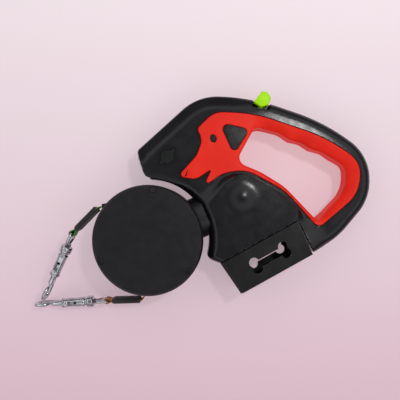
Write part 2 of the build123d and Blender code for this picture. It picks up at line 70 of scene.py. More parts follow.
# where the handle swells to the body's full thickness
BODY = [
    (10.0, -60.0, 0.0), (150.0, -60.0, 0.0), (172.0, 4.0, 20.0), (145.0, 20.0, 8.0),
    (124.1, 43.4, 60.0), (90.6, 61.9, 30.0), (68.5, 59.5, 20.0), (46.0, 46.5, 10.0), (10.0, 50.0, 0.0),
]
EYE_AT, EYE_SIZE, EYE_TILT = (59.7, 93.2), (3.0, 3.9), math.radians(20)
NOSE_CREASE = [(36.2, 64.2), (35.0, 62.6), (35.2, 60.8), (33.8, 58.6)]
HANDLE_SCREWS = [(66.0, 124.0), (148.0, 104.0), (195.3, 58.0), (162.0, 2.5), (66.0, -11.5), (22.0, 64.0)]
TORCH_BUTTON = (17.4, 76.8)
NECK_FOOT = [(51.0, -2.0), (55.0, -17.3), (66.1, -21.3)]  # the handle's edge below its neck
BAY_CORNER = (151.4, -11.6)  # the handle's corner beside the drawer's right end
FINGER_RIDGES = [OPENING[i][:2] for i in (6, 8, 10)]  # the grip's crests between the fingers
ALONG_FINGERS = (-0.916, 0.402)  # direction in which the ridges follow each other
GRIP_END, GRIP_WAY = (156.0, 14.0), (96.0, 66.0)  # where the opening turns into the grip, and its way
BUTTON_AT, BUTTON_TURN = (105.4, 130.3), math.radians(-12.0)
BUTTON_OUTLINE = [
    (-7.8, -4.8, 0.9), (0.0, -8.2, 1.8), (6.2, -4.8, 1.4), (7.6, 2.4, 1.6), (3.4, 6.9, 1.2),
    (-1.8, 7.2, 1.0),
]
DRAWER_AT, DRAWER_TURN = (82.3, -50.4), math.radians(29.1)
DOME = (86.0, 39.0)

RECESS_R = 56.0  # of the round bay in which the reel sits
SKIN = 2.5  # red rubber lining of the hand opening
FACE_SKIN = 1.2  # red rubber on the faces
WALL = 2.5
POCKET_FLOOR, SCREW_FLOOR = 2.1, 13.4  # heights of the button pocket and of the screw recesses
HEAD_HALF = 16.0  # half thickness of the head and of the grip
BODY_HALF = 20.8  # half thickness of the body
DOME_SLOPE, DOME_CURVE, DOME_R = 0.32, 0.05, 16.0  # steepest slope, curvature, radius
EDGE_HALF = 8.2  # height of the handle's side at its outer edge
COIL_OUT = 36.6
TAPE, TAPE_WIDE = 1.0, 12.0
LAYER = 12.0  # height of each leash above or below the mid-plane
SLEEVE_LONG = 26.5
BAR_GAP = 5.0  # from the sleeve to the bar of the snap's eye
LEASHES = {
    "green": {"bends": [(-46.4, 29.8)], "sleeve": (-47.7, 28.8), "heading": 225.7,
              "snap": 243.7, "droop": 9.0, "side": 1},
    "orange": {"bends": [(-4.3, -52.0), (-8.2, -59.7)], "sleeve": (-10.4, -59.8), "heading": 181.7,
               "snap": 183.8, "droop": 2.0, "side": -1},
}


# ---- plane geometry ----
def fillet(before, corner, after, radius):
    """Centre of the arc that rounds a corner, the angle it starts at and the angle it turns through."""
    before, corner, after = map(np.array, (before, corner, after))
    back, on = before - corner, after - corner
    back, on = back / np.linalg.norm(back), on / np.linalg.norm(on)
    half = math.acos(np.clip(back @ on, -1, 1)) / 2
    centre = corner + (back + on) / np.linalg.norm(back + on) * radius / math.sin(half)
    start, end = (corner + way * radius / math.tan(half) - centre for way in (back, on))
    turn = math.atan2(start[0] * end[1] - start[1] * end[0], start @ end)
    return centre, math.atan2(start[1], start[0]), turn


def arc(centre, radius, angles):
    """Points on a circle at some angles."""
    return centre + radius * np.stack([np.cos(angles), np.sin(angles)], 1)


def rounded(corners, step=1.0):
    """Closed outline through rounded corners, (x, y, radius), as points about step apart."""
    points = []
    for i, (x, y, radius) in enumerate(corners):
        if not radius:
            points.append(np.array((x, y)))
            continue
        after = corners[(i + 1) % len(corners)]
        centre, first, turn = fillet(corners[i - 1][:2], (x, y), after[:2], radius)
        count = max(2, math.ceil(abs(turn) * radius / step))
        points.extend(arc(centre, radius, first + turn * np.arange(count + 1) / count))
    return divided(np.array(points), step, True)


def open_line(corners, step=0.8):
    """Open line through rounded corners, (x, z, radius)."""
    points = [np.array(corners[0][:2])]
    for before, (x, z, radius), after in zip(corners, corners[1:], corners[2:]):
        centre, first, turn = fillet(before[:2], (x, z), after[:2], radius)
        count = max(3, math.ceil(abs(turn) * radius / step))
        points.extend(arc(centre, radius, first + turn * np.linspace(0, 1, count)))
    points.append(np.array(corners[-1][:2]))
    return divided(np.array(points), step * 2)


def divided(points, step, closed=False):
    """The same line with its long runs divided."""
    ends = np.roll(points, -1, axis=0) if closed else points[1:]
    made = []
    for a, b in zip(points, ends):
        count = max(1, math.ceil(np.linalg.norm(b - a) / step - 1e-6))
        made.extend(a + (b - a) * i / count for i in range(count))
    if not closed:
        made.append(points[-1])
    return np.array(made)


def circle(centre, radius, count=32, wide=1.0, turn=0.0):
    """Points round a circle, or an ellipse that is wide times as wide as it is tall."""
    angles = 2 * math.pi * np.arange(count) / count
    x, y = radius * wide * np.cos(angles), radius * np.sin(angles)
    c, s = math.cos(turn), math.sin(turn)
    return np.stack([centre[0] + x * c - y * s, centre[1] + x * s + y * c], 1)


def oblong(centre, long, wide, turn):
    """The corners of a turned rectangle."""
    c, s = math.cos(turn), math.sin(turn)
    corners = [(-long / 2, -wide / 2), (long / 2, -wide / 2), (long / 2, wide / 2), (-long / 2, wide / 2)]
    return np.array([(centre[0] + x * c - y * s, centre[1] + x * s + y * c) for x, y in corners])


def normals(line, closed=True):
    """Unit normals of a line, to the left of its direction."""
    if closed:
        run = np.roll(line, -1, axis=0) - np.roll(line, 1, axis=0)
    else:
        run = np.gradient(line, axis=0)
    run /= np.linalg.norm(run, axis=1)[:, None]
    return np.stack([-run[:, 1], run[:, 0]], 1)


def distance(points, line, closed=True):
    """Distance of each point from a line."""
    ends = np.roll(line, -1, axis=0) if closed else line[1:]
    starts = line if closed else line[:-1]
    best = np.full(len(points), 1e9)
    for a, b in zip(starts, ends):
        run = b - a
        share = np.clip(((points - a) @ run) / max(run @ run, 1e-12), 0, 1)
        gap = points - a - share[:, None] * run
        best = np.minimum(best, (gap * gap).sum(1))
    return np.sqrt(best)


def inside(points, line):
    """Whether each point lies inside a closed line."""
    x, y = points[:, 0], points[:, 1]
    odd = np.zeros(len(points), bool)
    for (x0, y0), (x1, y1) in zip(line, np.roll(line, -1, axis=0)):
        if y0 != y1:
            crossing = (y0 > y) != (y1 > y)
            odd ^= crossing & (x < x0 + (y - y0) * (x1 - x0) / (y1 - y0))
    return odd


def smooth(value, start, end):
    """0 before start, 1 after end and a smooth rise between."""
    t = np.clip((value - start) / (end - start), 0, 1)
    return t * t * (3 - 2 * t)


def fade(gap, reach, power=1.0):
    """1 where there is no gap, falling to 0 at the reach and staying there."""
    return (1 - np.clip(gap / reach, 0, 1)) ** power


# ---- meshes ----
def make_object(name, points, faces, material, body, replaces=(), slot=None, sharp=35.0):
    """A shaded piece from points in millimetres above the mid-plane, riding on a body."""
    mesh = bpy.data.meshes.new(name)
    lifted = np.array(points, float) + (0, 0, MID)
    mesh.from_pydata((lifted * MM).tolist(), [], [list(map(int, face)) for face in faces])
    mesh.validate()
    tidy = bmesh.new()
    tidy.from_mesh(mesh)
    bmesh.ops.recalc_face_normals(tidy, faces=tidy.faces)
    tidy.to_mesh(mesh)
    tidy.free()
    mesh.shade_smooth()
    mesh.set_sharp_from_angle(angle=math.radians(sharp))
    mesh.materials.append(material)
    piece = bpy.data.objects.new(name, mesh)
    bpy.context.scene.collection.objects.link(piece)
    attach(piece, body)
    if replaces:
        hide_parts(*replaces)
    return piece


def swept(line, radii, around=14, closed=False):
    """Tube along a line of the x-z plane, as points and faces."""
    count = len(line)
    radii = np.broadcast_to(radii, count)
    side = normals(line, closed)
    points = []
    for (x, z), (nx, nz), radius in zip(line, side, radii):
        for k in range(around):
            angle = 2 * math.pi * k / around
            out, across = radius * math.cos(angle), radius * math.sin(angle)
            points.append((x + nx * out, across, z + nz * out))
    return points, ring_faces(count, around, closed)


def ring_faces(count, around, closed):
    """Faces that join count rings of around points, with flat ends unless they close on themselves."""
    faces = []
    for i in range(count if closed else count - 1):
        for k in range(around):
            a, b = i * around + k, i * around + (k + 1) % around
            j = (i + 1) % count
            c, d = j * around + (k + 1) % around, j * around + k
            faces.append((a, b, c, d))
    if not closed:
        faces.append(tuple(range(around)))
        faces.append(tuple((count - 1) * around + k for k in reversed(range(around))))
    return faces


def turned(profile, around=40):
    """Solid of revolution about the x axis from a closed profile of (x, radius)."""
    rim = np.array(profile, float)
    points = []
    for x, radius in rim:
        for k in range(around):
            angle = 2 * math.pi * k / around
            points.append((x, radius * math.cos(angle), radius * math.sin(angle)))
    return points, ring_faces(len(rim), around, True)


def joined(*shapes):
    """Several (points, faces) as one."""
    points, faces = [], []
    for more_points, more_faces in shapes:
        base = len(points)
        points.extend(more_points)
        faces.extend(tuple(base + i for i in face) for face in more_faces)
    return points, faces


def placed(shape, matrix):
    """A shape moved by a matrix."""
    points, faces = shape
    return [tuple(matrix @ Vector(p)) for p in points], faces


# ---- materials ----
def node_material(name):
    """A material with its shader, a coordinate source in metres and a helper that adds nodes."""
    material = bpy.data.materials.new(name)
    material.use_nodes = True
    tree = material.node_tree
    shader = tree.nodes["Principled BSDF"]
    place = tree.nodes.new("ShaderNodeTexCoord").outputs["Object"]

    def add(kind, inputs=(), **settings):
        node = tree.nodes.new(kind)
        for key, value in settings.items():
            setattr(node, key, value)
        for key, value in dict(inputs).items():
            if isinstance(value, bpy.types.NodeSocket):
                tree.links.new(value, node.inputs[key])
            else:
                node.inputs[key].default_value = value
        return node

    return material, shader, place, add


def plug(material, shader, **inputs):
    """Sets or links shader inputs, with _ for the spaces in their names."""
    for key, value in inputs.items():
        socket = shader.inputs[key.replace("_", " ")]
        if isinstance(value, bpy.types.NodeSocket):
            material.node_tree.links.new(value, socket)
        else:
            socket.default_value = value


def grain(add, place, scale, low, high):
    """Noise stretched between two values."""
    noise = add("ShaderNodeTexNoise", {"Vector": place, "Scale": scale, "Detail": 4.0})
    return add("ShaderNodeMapRange", {"Value": noise.outputs["Fac"], "From Min": 0.3, "From Max": 0.7,
                                      "To Min": low, "To Max": high}).outputs["Result"]


def tinted(add, share, dark, light):
    """A colour between two, by a share; 6, 7 and 2 are the node's colour sockets."""
    mix = add("ShaderNodeMix", {"Factor": share, 6: (*dark, 1), 7: (*light, 1)}, data_type="RGBA")
    return mix.outputs[2]


def moulded(name, dark, light, rough, texture=1500.0, depth=0.00004, level=0.5, coat=0.0):
    """Moulded plastic: fine spark-eroded texture, faint colour drift and worn, smoother edges."""
    material, shader, place, add = node_material(name)
    drift = grain(add, place, 40.0, 0.0, 1.0)
    fine = add("ShaderNodeTexNoise", {"Vector": place, "Scale": texture, "Detail": 2.0})
    bump = add("ShaderNodeBump", {"Height": fine.outputs["Fac"], "Distance": depth, "Strength": 1.0})
    edges = add("ShaderNodeNewGeometry").outputs["Pointiness"]
    worn = add("ShaderNodeMapRange", {"Value": edges, "From Min": 0.5, "From Max": 0.62,
                                      "To Min": 0.0, "To Max": -0.12}).outputs["Result"]
    gloss = grain(add, place, 120.0, rough - 0.04, rough + 0.04)
    rubbed = add("ShaderNodeMath", {0: gloss, 1: worn}, operation="ADD").outputs["Value"]
    plug(material, shader, Base_Color=tinted(add, drift, dark, light), Roughness=rubbed,
         Normal=bump.outputs["Normal"], Specular_IOR_Level=level, Coat_Weight=coat)
    return material


def metal(name, dark, light, rough, scratch=300.0, depth=0.00003):
    """Plated or drawn metal with streaks and fine scratches."""
    material, shader, place, add = node_material(name)
    drift = grain(add, place, 150.0, 0.0, 1.0)
    stretched = add("ShaderNodeMapping", {"Vector": place, "Scale": (1.0, 1.0, 12.0)}).outputs["Vector"]
    lines = add("ShaderNodeTexNoise", {"Vector": stretched, "Scale": scratch, "Detail": 6.0})
    bump = add("ShaderNodeBump", {"Height": lines.outputs["Fac"], "Distance": depth, "Strength": 0.6})
    plug(material, shader, Base_Color=tinted(add, drift, dark, light), Metallic=1.0,
         Roughness=grain(add, place, 220.0, rough - 0.05, rough + 0.08), Normal=bump.outputs["Normal"])
    return material


def woven(name, dark, light, pitch=0.9):
    """Close tape weave from two crossed waves, with a soft fibre sheen and painted shade: the colour
    darkens where the weave lies low.
    """
    material, shader, place, add = node_material(name)
    aslant = add("ShaderNodeMapping", {"Vector": place, "Rotation": (0.0, 0.0, math.pi / 4)})
    scale = 1 / (pitch * MM) / 3.2
    across = add("ShaderNodeTexWave", {"Vector": aslant.outputs["Vector"], "Scale": scale,
                                       "Distortion": 0.6}, bands_direction="X").outputs["Fac"]
    along = add("ShaderNodeTexWave", {"Vector": place, "Scale": scale * 0.7, "Distortion": 0.6},
                bands_direction="Z").outputs["Fac"]
    threads = add("ShaderNodeMath", {0: across, 1: along}, operation="MULTIPLY").outputs["Value"]
    fibres = grain(add, place, 2500.0, 0.0, 0.4)
    height = add("ShaderNodeMath", {0: threads, 1: fibres}, operation="ADD").outputs["Value"]
    bump = add("ShaderNodeBump", {"Height": height, "Distance": 0.00025, "Strength": 0.9})
    # painted shade: the base colour follows the weave's height, darker between the threads, with random
    # fibre tone on top
    plug(material, shader, Base_Color=tinted(add, height, dark, light), Roughness=0.85,
         Normal=bump.outputs["Normal"], Sheen_Weight=0.25, Specular_IOR_Level=0.2)
    return material


def clear_lens(name):
    """Lens with a fine prism pattern."""
    material, shader, place, add = node_material(name)
    cells = add("ShaderNodeTexVoronoi", {"Vector": place, "Scale": 600.0})
    bump = add("ShaderNodeBump", {"Height": cells.outputs["Distance"], "Distance": 0.0002})
    plug(material, shader, Base_Color=(0.93, 0.96, 0.97, 1), Roughness=0.05,
         Transmission_Weight=0.9, Normal=bump.outputs["Normal"])
    return material


def made_materials():
    """Every material by its slot name."""
    return {
        "shell": moulded("shell_plastic", (0.003, 0.003, 0.005), (0.005, 0.005, 0.007), 0.25, level=0.42),
        "case": moulded("case_plastic", (0.003, 0.003, 0.005), (0.005, 0.005, 0.007), 0.38, level=0.45),
        "drawer": moulded("drawer_plastic", (0.003, 0.004, 0.003), (0.005, 0.006, 0.005), 0.34, level=0.45),
        "grip_red": moulded("grip_rubber", (0.84, 0.016, 0.006), (0.97, 0.026, 0.010), 0.5,
                            texture=1100.0, depth=0.00005, level=0.2),
        "lime": moulded("lime_plastic", (0.44, 0.95, 0.0), (0.52, 1.0, 0.0), 0.38, level=0.3),
        "orange": moulded("orange_plastic", (0.70, 0.17, 0.01), (0.80, 0.23, 0.02), 0.38, level=0.3),
        "button_dark": moulded("torch_button_plastic", (0.008, 0.011, 0.010), (0.012, 0.015, 0.013), 0.4,
                               level=0.3),
        "bolt_chrome": metal("snap_chrome", (0.34, 0.35, 0.37), (0.66, 0.68, 0.71), 0.17),
        "steel": metal("spring_steel", (0.36, 0.37, 0.39), (0.55, 0.56, 0.58), 0.3),
        "screw": metal("blackened_steel", (0.02, 0.02, 0.02), (0.05, 0.05, 0.055), 0.4),
        "brass": metal("brass", (0.58, 0.40, 0.14), (0.75, 0.55, 0.22), 0.28),
        "pom": moulded("acetal", (0.55, 0.55, 0.50), (0.66, 0.66, 0.62), 0.35),
        "pcb": moulded("circuit_board", (0.01, 0.09, 0.03), (0.02, 0.15, 0.05), 0.4, texture=300.0),
        "led": moulded("led_dome", (0.80, 0.75, 0.35), (0.95, 0.90, 0.55), 0.2, coat=0.5),
        "cell": moulded("cell_wrap", (0.10, 0.14, 0.30), (0.16, 0.20, 0.42), 0.3, texture=200.0),
        "tape_green": woven("green_tape", (0.02, 0.10, 0.004), (0.07, 0.28, 0.015)),
        "tape_orange": woven("orange_tape", (0.35, 0.08, 0.01), (0.75, 0.25, 0.03)),
        "sleeve_black": woven("sleeve_weave", (0.012, 0.012, 0.012), (0.060, 0.058, 0.060), 0.7),
        "lens": clear_lens("torch_lens_clear"),
    }


MATERIALS = made_materials()


# ---- the handle: half shells and soft red overmould, as height fields over one plan ----
def handle_curves():
    """The closed lines that bound the handle's parts in plan."""
    hole = rounded(OPENING, 1.0)
    turn = (math.cos(BUTTON_TURN), math.sin(BUTTON_TURN))
    pocket = (BUTTON_AT[0] + turn[1] * 3.7, BUTTON_AT[1] - turn[0] * 3.7)
    curves = {
        "edge": rounded(HANDLE[1:] + HANDLE[:1], 1.2),
        "recess": circle((0, 0), RECESS_R, 280),
        "hole": hole,
        "lining": hole - normals(hole) * SKIN,
        "red": rounded(RED, 1.0),
        "body": rounded(BODY, 1.0),
        "ear": rounded(EAR, 1.0),
        "eye": circle(EYE_AT, EYE_SIZE[1], 20, EYE_SIZE[0] / EYE_SIZE[1], EYE_TILT),
        "torch": circle(TORCH_BUTTON, 6.3, 36),
        "torch_ears": divided(oblong(TORCH_BUTTON, 20.0, 4.0, math.pi / 4), 1.5, True),
        "pocket": divided(oblong(pocket, 16.6, 11.8, BUTTON_TURN), 1.5, True),
    }
    crease = divided(np.array(NOSE_CREASE), 0.6)
    taper = np.linspace(0.25, 0.6, len(crease))[:, None] * normals(crease, False)
    curves["crease"] = np.concatenate([crease - taper, (crease + taper)[::-1]])
    for i, place in enumerate(HANDLE_SCREWS):
        curves[f"screw{i}"] = circle(place, 3.5, 20)
    return curves


def plan_points(curves):
    """Lines to keep, rings beside them and an even grid between, as points and fixed edges."""
    fixed, edges = [], []
    for line in curves.values():
        base = len(fixed)
        fixed.extend(line)
        edges.extend((base + i, base + (i + 1) % len(line)) for i in range(len(line)))
    # how far inside (or outside, below 0) each line its rings lie
    beside = {
        "edge": (0.3, 0.8, 1.6, WALL, 4.0, 5.8, 7.6), "recess": (-0.3, -0.8, -1.6, -WALL, -4.0, -5.8),
        "hole": (-0.3, -0.7, -1.25, -1.8, -4.0, -6.0), "red": (-0.7, -0.3, 0.3, 0.7, 1.6),
        "ear": (-0.7, -0.3, 0.3, 0.7), "eye": (-0.4, 0.6), "body": (1.2, 2.4),
    }
    # rows of equal triangles, every other row half a step on
    pitch = 2.4
    grid_x, grid_y = np.meshgrid(np.arange(-14, 212, pitch), np.arange(-26, 138, 2.08))
    grid_x[1::2] += pitch / 2
    groups = [(np.stack([grid_x.ravel(), grid_y.ravel()], 1), 1.5)]
    for name, offsets in beside.items():
        for offset in offsets:
            groups.append((curves[name] + normals(curves[name]) * offset, abs(offset) * 0.85))
    main = ("edge", "recess", "hole", "red", "ear", "eye", "torch", "lining", "body")
    loose = []
    for points, room in groups:
        clear = np.min([distance(points, curves[name]) for name in main], 0) > room
        loose.extend(points[clear])
    return thinned(np.array(fixed), np.array(loose)), edges


def thinned(fixed, loose, gap=0.22):
    """The loose points that keep a gap from the points before them, after the fixed ones."""
    taken, kept = set(), []
    for point in fixed:
        taken.add((round(point[0] / gap), round(point[1] / gap)))
    for point in loose:
        cell = (round(point[0] / gap), round(point[1] / gap))
        if not any((cell[0] + i, cell[1] + j) in taken for i in (-1, 0, 1) for j in (-1, 0, 1)):
            taken.add(cell)
            kept.append(point)
    return np.concatenate([fixed, np.array(kept)])


def made_plan():
    """Triangles over the whole handle, with what each one belongs to."""
    curves = handle_curves()
    points, edges = plan_points(curves)
    coords, _, faces, _, _, _ = delaunay_2d_cdt([Vector(p) for p in points], edges, [], 0, 1e-4)
    xy = np.array([tuple(c) for c in coords])
    tris = np.array([face for face in faces if len(face) == 3])
    middle = xy[tris].mean(1)
    within = {name: inside(middle, line) for name, line in curves.items()}
    solid = within["edge"] & ~within["recess"] & ~within["hole"]
    tris, within = tris[solid], {name: flags[solid] for name, flags in within.items()}
    flat = distance(middle[solid], curves["edge"])
    flat = np.minimum(flat, np.hypot(*middle[solid].T) - RECESS_R)
    flat = np.minimum(flat, distance(middle[solid], curves["lining"]))
    red = (within["red"] | within["lining"]) & ~(within["ear"] | within["eye"] | within["crease"])
    screws = np.any([within[f"screw{i}"] for i in range(len(HANDLE_SCREWS))], 0)
    return {"xy": xy, "tris": tris, "within": within, "red": red, "curves": curves,
            "screws": screws, "rim": flat < WALL, "neighbours": neighbours(tris)}


def neighbours(tris):
    """For each edge of each triangle, the triangle across it or -1."""
    found = {}
    across = np.full((len(tris), 3), -1)
    for t, tri in enumerate(tris):
        for k in range(3):
            key = frozenset((tri[k], tri[(k + 1) % 3]))
            if key in found:
                other, side = found[key]
                across[t, k], across[other, side] = other, t
            else:
                found[key] = (t, k)
    return across


def seam_distance(plan):
    """Distance of every point from the seam between the red skin and the shell."""
    gap = np.full(len(plan["xy"]), 1e9)
    for t, tri in enumerate(plan["tris"]):
        for k in range(3):
            other = plan["neighbours"][t, k]
            if other > t and plan["red"][t] != plan["red"][other]:
                ends = plan["xy"][[tri[k], tri[(k + 1) % 3]]]
                near = np.abs(plan["xy"] - ends[0]).max(1) < 6
                gap[near] = np.minimum(gap[near], distance(plan["xy"][near], ends, False))
    return gap


def handle_heights(xy, from_outer):
    """Bevel round the head, which turns into a rounded grip."""
    bevel = EDGE_HALF + 0.70 * from_outer
    bevel = HEAD_HALF - np.logaddexp(0, HEAD_HALF - bevel)
    crown = np.sqrt(1 - fade(from_outer, 9.5, 2))
    grip = EDGE_HALF - 1 + (HEAD_HALF - EDGE_HALF + 1) * crown
    share = smooth(xy[:, 0], 72, 112)
    return bevel * (1 - share) + grip * share


def body_share(xy, depth, from_outer):
    """How far the handle has swollen to the body: slowly by the neck, at once beside the red band."""
    x, y = xy.T
    by_drawer = 1 - smooth(np.hypot(x - BAY_CORNER[0], y - BAY_CORNER[1]), 3, 34)
    rise = 24 - 22.8 * smooth(x, 40, 86) * smooth(y, 4, 30)
    return smooth(depth, 0, rise) * (0.5 + 0.5 * np.maximum(smooth(from_outer, 0, 10), by_drawer))


def dome_heights(xy):
    """The low dome on the body: a cone with a rounded foot and a rounded top."""
    inward = np.clip(DOME_R - np.hypot(*(xy - DOME).T), 0, DOME_R)
    blend = DOME_SLOPE / DOME_CURVE
    foot = np.minimum(inward, blend)
    flank = np.clip(inward - blend, 0, DOME_R - 2 * blend)
    crown = np.clip(inward - DOME_R + blend, 0, blend)
    return DOME_CURVE * (foot ** 2 - crown ** 2) / 2 + DOME_SLOPE * (flank + crown)


def on_or_inside(plan, name):
    """Whether each point of the plan lies on or inside one of its curves."""
    line = plan["curves"][name]
    return inside(plan["xy"], line - normals(line) * 0.05)


def face_heights(plan):
    """Heights above the mid-plane of the shell's face and of the red skin's face."""
    xy, edge, body = plan["xy"], plan["curves"]["edge"], plan["curves"]["body"]
    # the outer edge of the head and the grip, without the neck and the bay of the drawer
    outer = edge[(edge[:, 1] > 80.5) | (edge[:, 0] > BAY_CORNER[0])]
    from_outer = distance(xy, outer, False)
    from_recess = np.maximum(np.hypot(*xy.T) - RECESS_R, 0)
    from_edge = np.minimum(distance(xy, edge), from_recess)
    depth = distance(xy, body) * np.where(inside(xy, body), 1, -1)
    base = handle_heights(xy, from_outer)
    base += (BODY_HALF - base) * body_share(xy, depth, from_outer) + dome_heights(xy)
    # soft edges at the reel's bay and below the neck
    base -= (1.5 + 4.7 * smooth(depth, -6, 8)) * fade(from_recess, 7.5, 1.4)
    base -= 4.0 * fade(distance(xy, np.array(NECK_FOOT), False), 5.0, 2)
    # fine groove along the seams, rounded rim, raised ear, sunk eye and nose crease
    seam = 0.6 * fade(seam_distance(plan), 0.26)
    shell = base - 0.7 * fade(from_edge, 0.9, 2) - seam + 0.2 * on_or_inside(plan, "ear")
    sunk = on_or_inside(plan, "eye") | on_or_inside(plan, "crease")
    shell[sunk] = base[sunk] - 1.0
    return shell, base - seam - red_relief(plan, xy)


def red_relief(plan, xy):
    """How far the red skin lies below the handle's face.

    The grip falls towards the opening and has ridges between the fingers. All of the skin has a
    rounded edge, and along the head and body a fine crease beside it.
    """
    from_hole = distance(xy, plan["curves"]["hole"])
    share = from_hole / (from_hole + distance(xy, plan["curves"]["red"]) + 1e-6)
    across = ((xy - GRIP_END) @ GRIP_WAY) / np.linalg.norm(GRIP_WAY)
    grip = smooth(across, 0, 14)
    relief = 6.5 * grip * fade(share, 1.0, 1.6)
    for ridge in FINGER_RIDGES:
        away = (xy - ridge) @ ALONG_FINGERS
        relief -= 1.4 * grip * np.exp(-((away / 4.2) ** 2)) * (1 - share) * (from_hole < 16)
    relief += 0.9 * fade(from_hole, 1.2, 2)
    return relief + 0.5 * (1 - grip) * np.exp(-(((from_hole - 1.25) / 0.35) ** 2))


# layers of the plan, from the mid-plane up
RIM, PARTING, SHELL_TOP, RED_TOP, UNDER_RED, INNER, POCKET, SCREW_SEAT = range(8)
ABSENT = -1


def layer_heights(plan):
    """Height of every plan point in each layer."""
    shell, red = face_heights(plan)
    under = red - FACE_SKIN
    level = np.ones(len(shell))
    inner = np.minimum(shell, under) - WALL + 0.3
    return np.array([0 * level, 0.45 * level, shell, red, under, inner, POCKET_FLOOR * level,
                     SCREW_FLOOR * level])


def layered(plan, heights, top, bottom):
    """Closed solid between a top and a bottom layer for each triangle, ABSENT where there is none."""
    tris, across = plan["tris"], plan["neighbours"]
    quads, inward = [], np.zeros_like(plan["xy"])
    for t, tri in enumerate(tris):
        if top[t] == ABSENT:
            continue
        for k in range(3):
            i, j, other = tri[k], tri[(k + 1) % 3], across[t, k]
            if other < 0 or top[other] == ABSENT:
                steps = [top[t], PARTING, RIM] if bottom[t] == RIM else [top[t], bottom[t]]
                quads.extend(((a, i), (a, j), (b, j), (b, i)) for a, b in zip(steps, steps[1:]))
                run = plan["xy"][j] - plan["xy"][i]
                inward[[i, j]] += np.array((-run[1], run[0])) / np.linalg.norm(run)
            elif other > t:
                for a, b in ((top[t], top[other]), (bottom[t], bottom[other])):
                    if a != b:
                        quads.append(((a, i), (a, j), (b, j), (b, i)))
    length = np.linalg.norm(inward, axis=1)[:, None]
    inset = plan["xy"] + np.where(length > 0, inward / np.maximum(length, 1e-9), 0) * 0.25
    index, points = {}, []

    def corner(layer, i):
        key = (layer, i)
        if key not in index:
            x, y = inset[i] if layer == RIM else plan["xy"][i]
            index[key] = len(points)
            points.append((x, y, heights[layer][i]))
        return index[key]

    faces = []
    for t, tri in enumerate(tris):
        if top[t] != ABSENT:
            faces.append([corner(top[t], i) for i in tri])
            faces.append([corner(bottom[t], i) for i in reversed(tri)])
    faces.extend([corner(*c) for c in quad] for quad in quads)
    return np.array(points), faces


def handle_halves():
    """Front and back shell with the red overmould of each."""
    plan = made_plan()
    heights = layer_heights(plan)
    within, red = plan["within"], plan["red"]
    lining = within["lining"]
    for side, up in (("front", 1), ("back", -1)):
        top = np.where(red, UNDER_RED, SHELL_TOP)
        top[lining] = ABSENT
        bottom = np.where(plan["rim"], RIM, INNER)
        if side == "front":
            top[within["torch"] | within["torch_ears"]] = ABSENT
        else:
            top[plan["screws"]] = SCREW_SEAT
        top[within["pocket"] & (top == SHELL_TOP)] = POCKET
        bottom[top == POCKET] = RIM
        points, faces = layered(plan, heights, top, bottom)
        make_object(f"handle_shell_{side}_detailed", points * (1, 1, up), faces, MATERIALS["shell"],
                    "handle", [f"handle_shell_{side}"], "shell")
        top = np.where(red, RED_TOP, ABSENT)
        bottom = np.where(lining, RIM, UNDER_RED)
        points, faces = layered(plan, heights, top, bottom)
        make_object(f"grip_overmould_{side}_detailed", points * (1, 1, up), faces, MATERIALS["grip_red"],
                    "handle", [f"grip_overmould_{side}"], "grip_red")


# ---- CAD pieces that keep their shape: rounded edges and a material ----
def finish_node(name, slot, radius=0.0, material=None):
    """Gives a CAD node its material and, with a radius in millimetres, rounded edges."""
    node = NODES[name]
    node.data.polygons.foreach_set("use_smooth", [True] * len(node.data.polygons))
    if not node.material_slots:
        node.data.materials.append(None)
    for place in node.material_slots:
        place.material = MATERIALS[material or slot]
    weld = node.modifiers.new("weld", "WELD")
    weld.merge_threshold = 0.001 * MM
    if radius:
        flat = node.modifiers.new("flat", "DECIMATE")
        flat.decimate_type = "DISSOLVE"
        flat.angle_limit = math.radians(1.5)
        bevel = node.modifiers.new("round", "BEVEL")
        bevel.width = radius * MM
        bevel.segments = 2
        bevel.limit_method = "ANGLE"
        bevel.angle_limit = math.radians(38)
        even = node.modifiers.new("even", "WEIGHTED_NORMAL")
        even.mode, even.weight = "FACE_AREA", 90


def finish_nodes():
    """Materials for the CAD pieces that keep their shape, with the radius of their edges."""
    plain = {
        "handle_screws": ("steel", 0.2), "swivel_bush": ("case", 0.15), "torch_bezel": ("steel", 0.3),
        "torch_lens": ("lens", 0.2), "torch_reflector": ("bolt_chrome", 0.0), "torch_led": ("led", 0.3),
        "torch_board": ("pcb", 0.1), "torch_switch": ("button_dark", 0.15), "battery_cells": ("cell", 0.4),
        "battery_contacts": ("brass", 0.1), "lever_pivot_pin": ("steel", 0.3),
        "green_push_rod": ("steel", 0.2), "orange_push_tube": ("pom", 0.2),
        "green_return_spring": ("steel", 0.0), "orange_return_spring": ("steel", 0.0),
        "torch_button": ("button_dark", 0.5), "reel_frame": ("case", 0.4), "reel_axle": ("steel", 0.3),
    }
    for side in LEASHES:
        plain.update({
            f"{side}_button_spring": ("steel", 0.0), f"{side}_brake_lever": ("pom", 0.25),
            f"{side}_brake_plunger": ("pom", 0.2), f"{side}_reel_cover": ("case", 0.4),
            f"{side}_spool": ("pom", 0.2), f"{side}_mainspring": ("steel", 0.0),
            f"{side}_exit_guide": ("case", 0.3), f"{side}_bolt_spring": ("steel", 0.0),
        })
    for name, (slot, radius) in plain.items():
        finish_node(name, slot, radius)
    finish_node("bag_drawer", "drawer", 0.6)
    for side in LEASHES:
        finish_node(f"{side}_cover_screws", "steel", 0.25, "screw")
        finish_node(f"{side}_tape_coil", f"tape_{side}", 0.0)


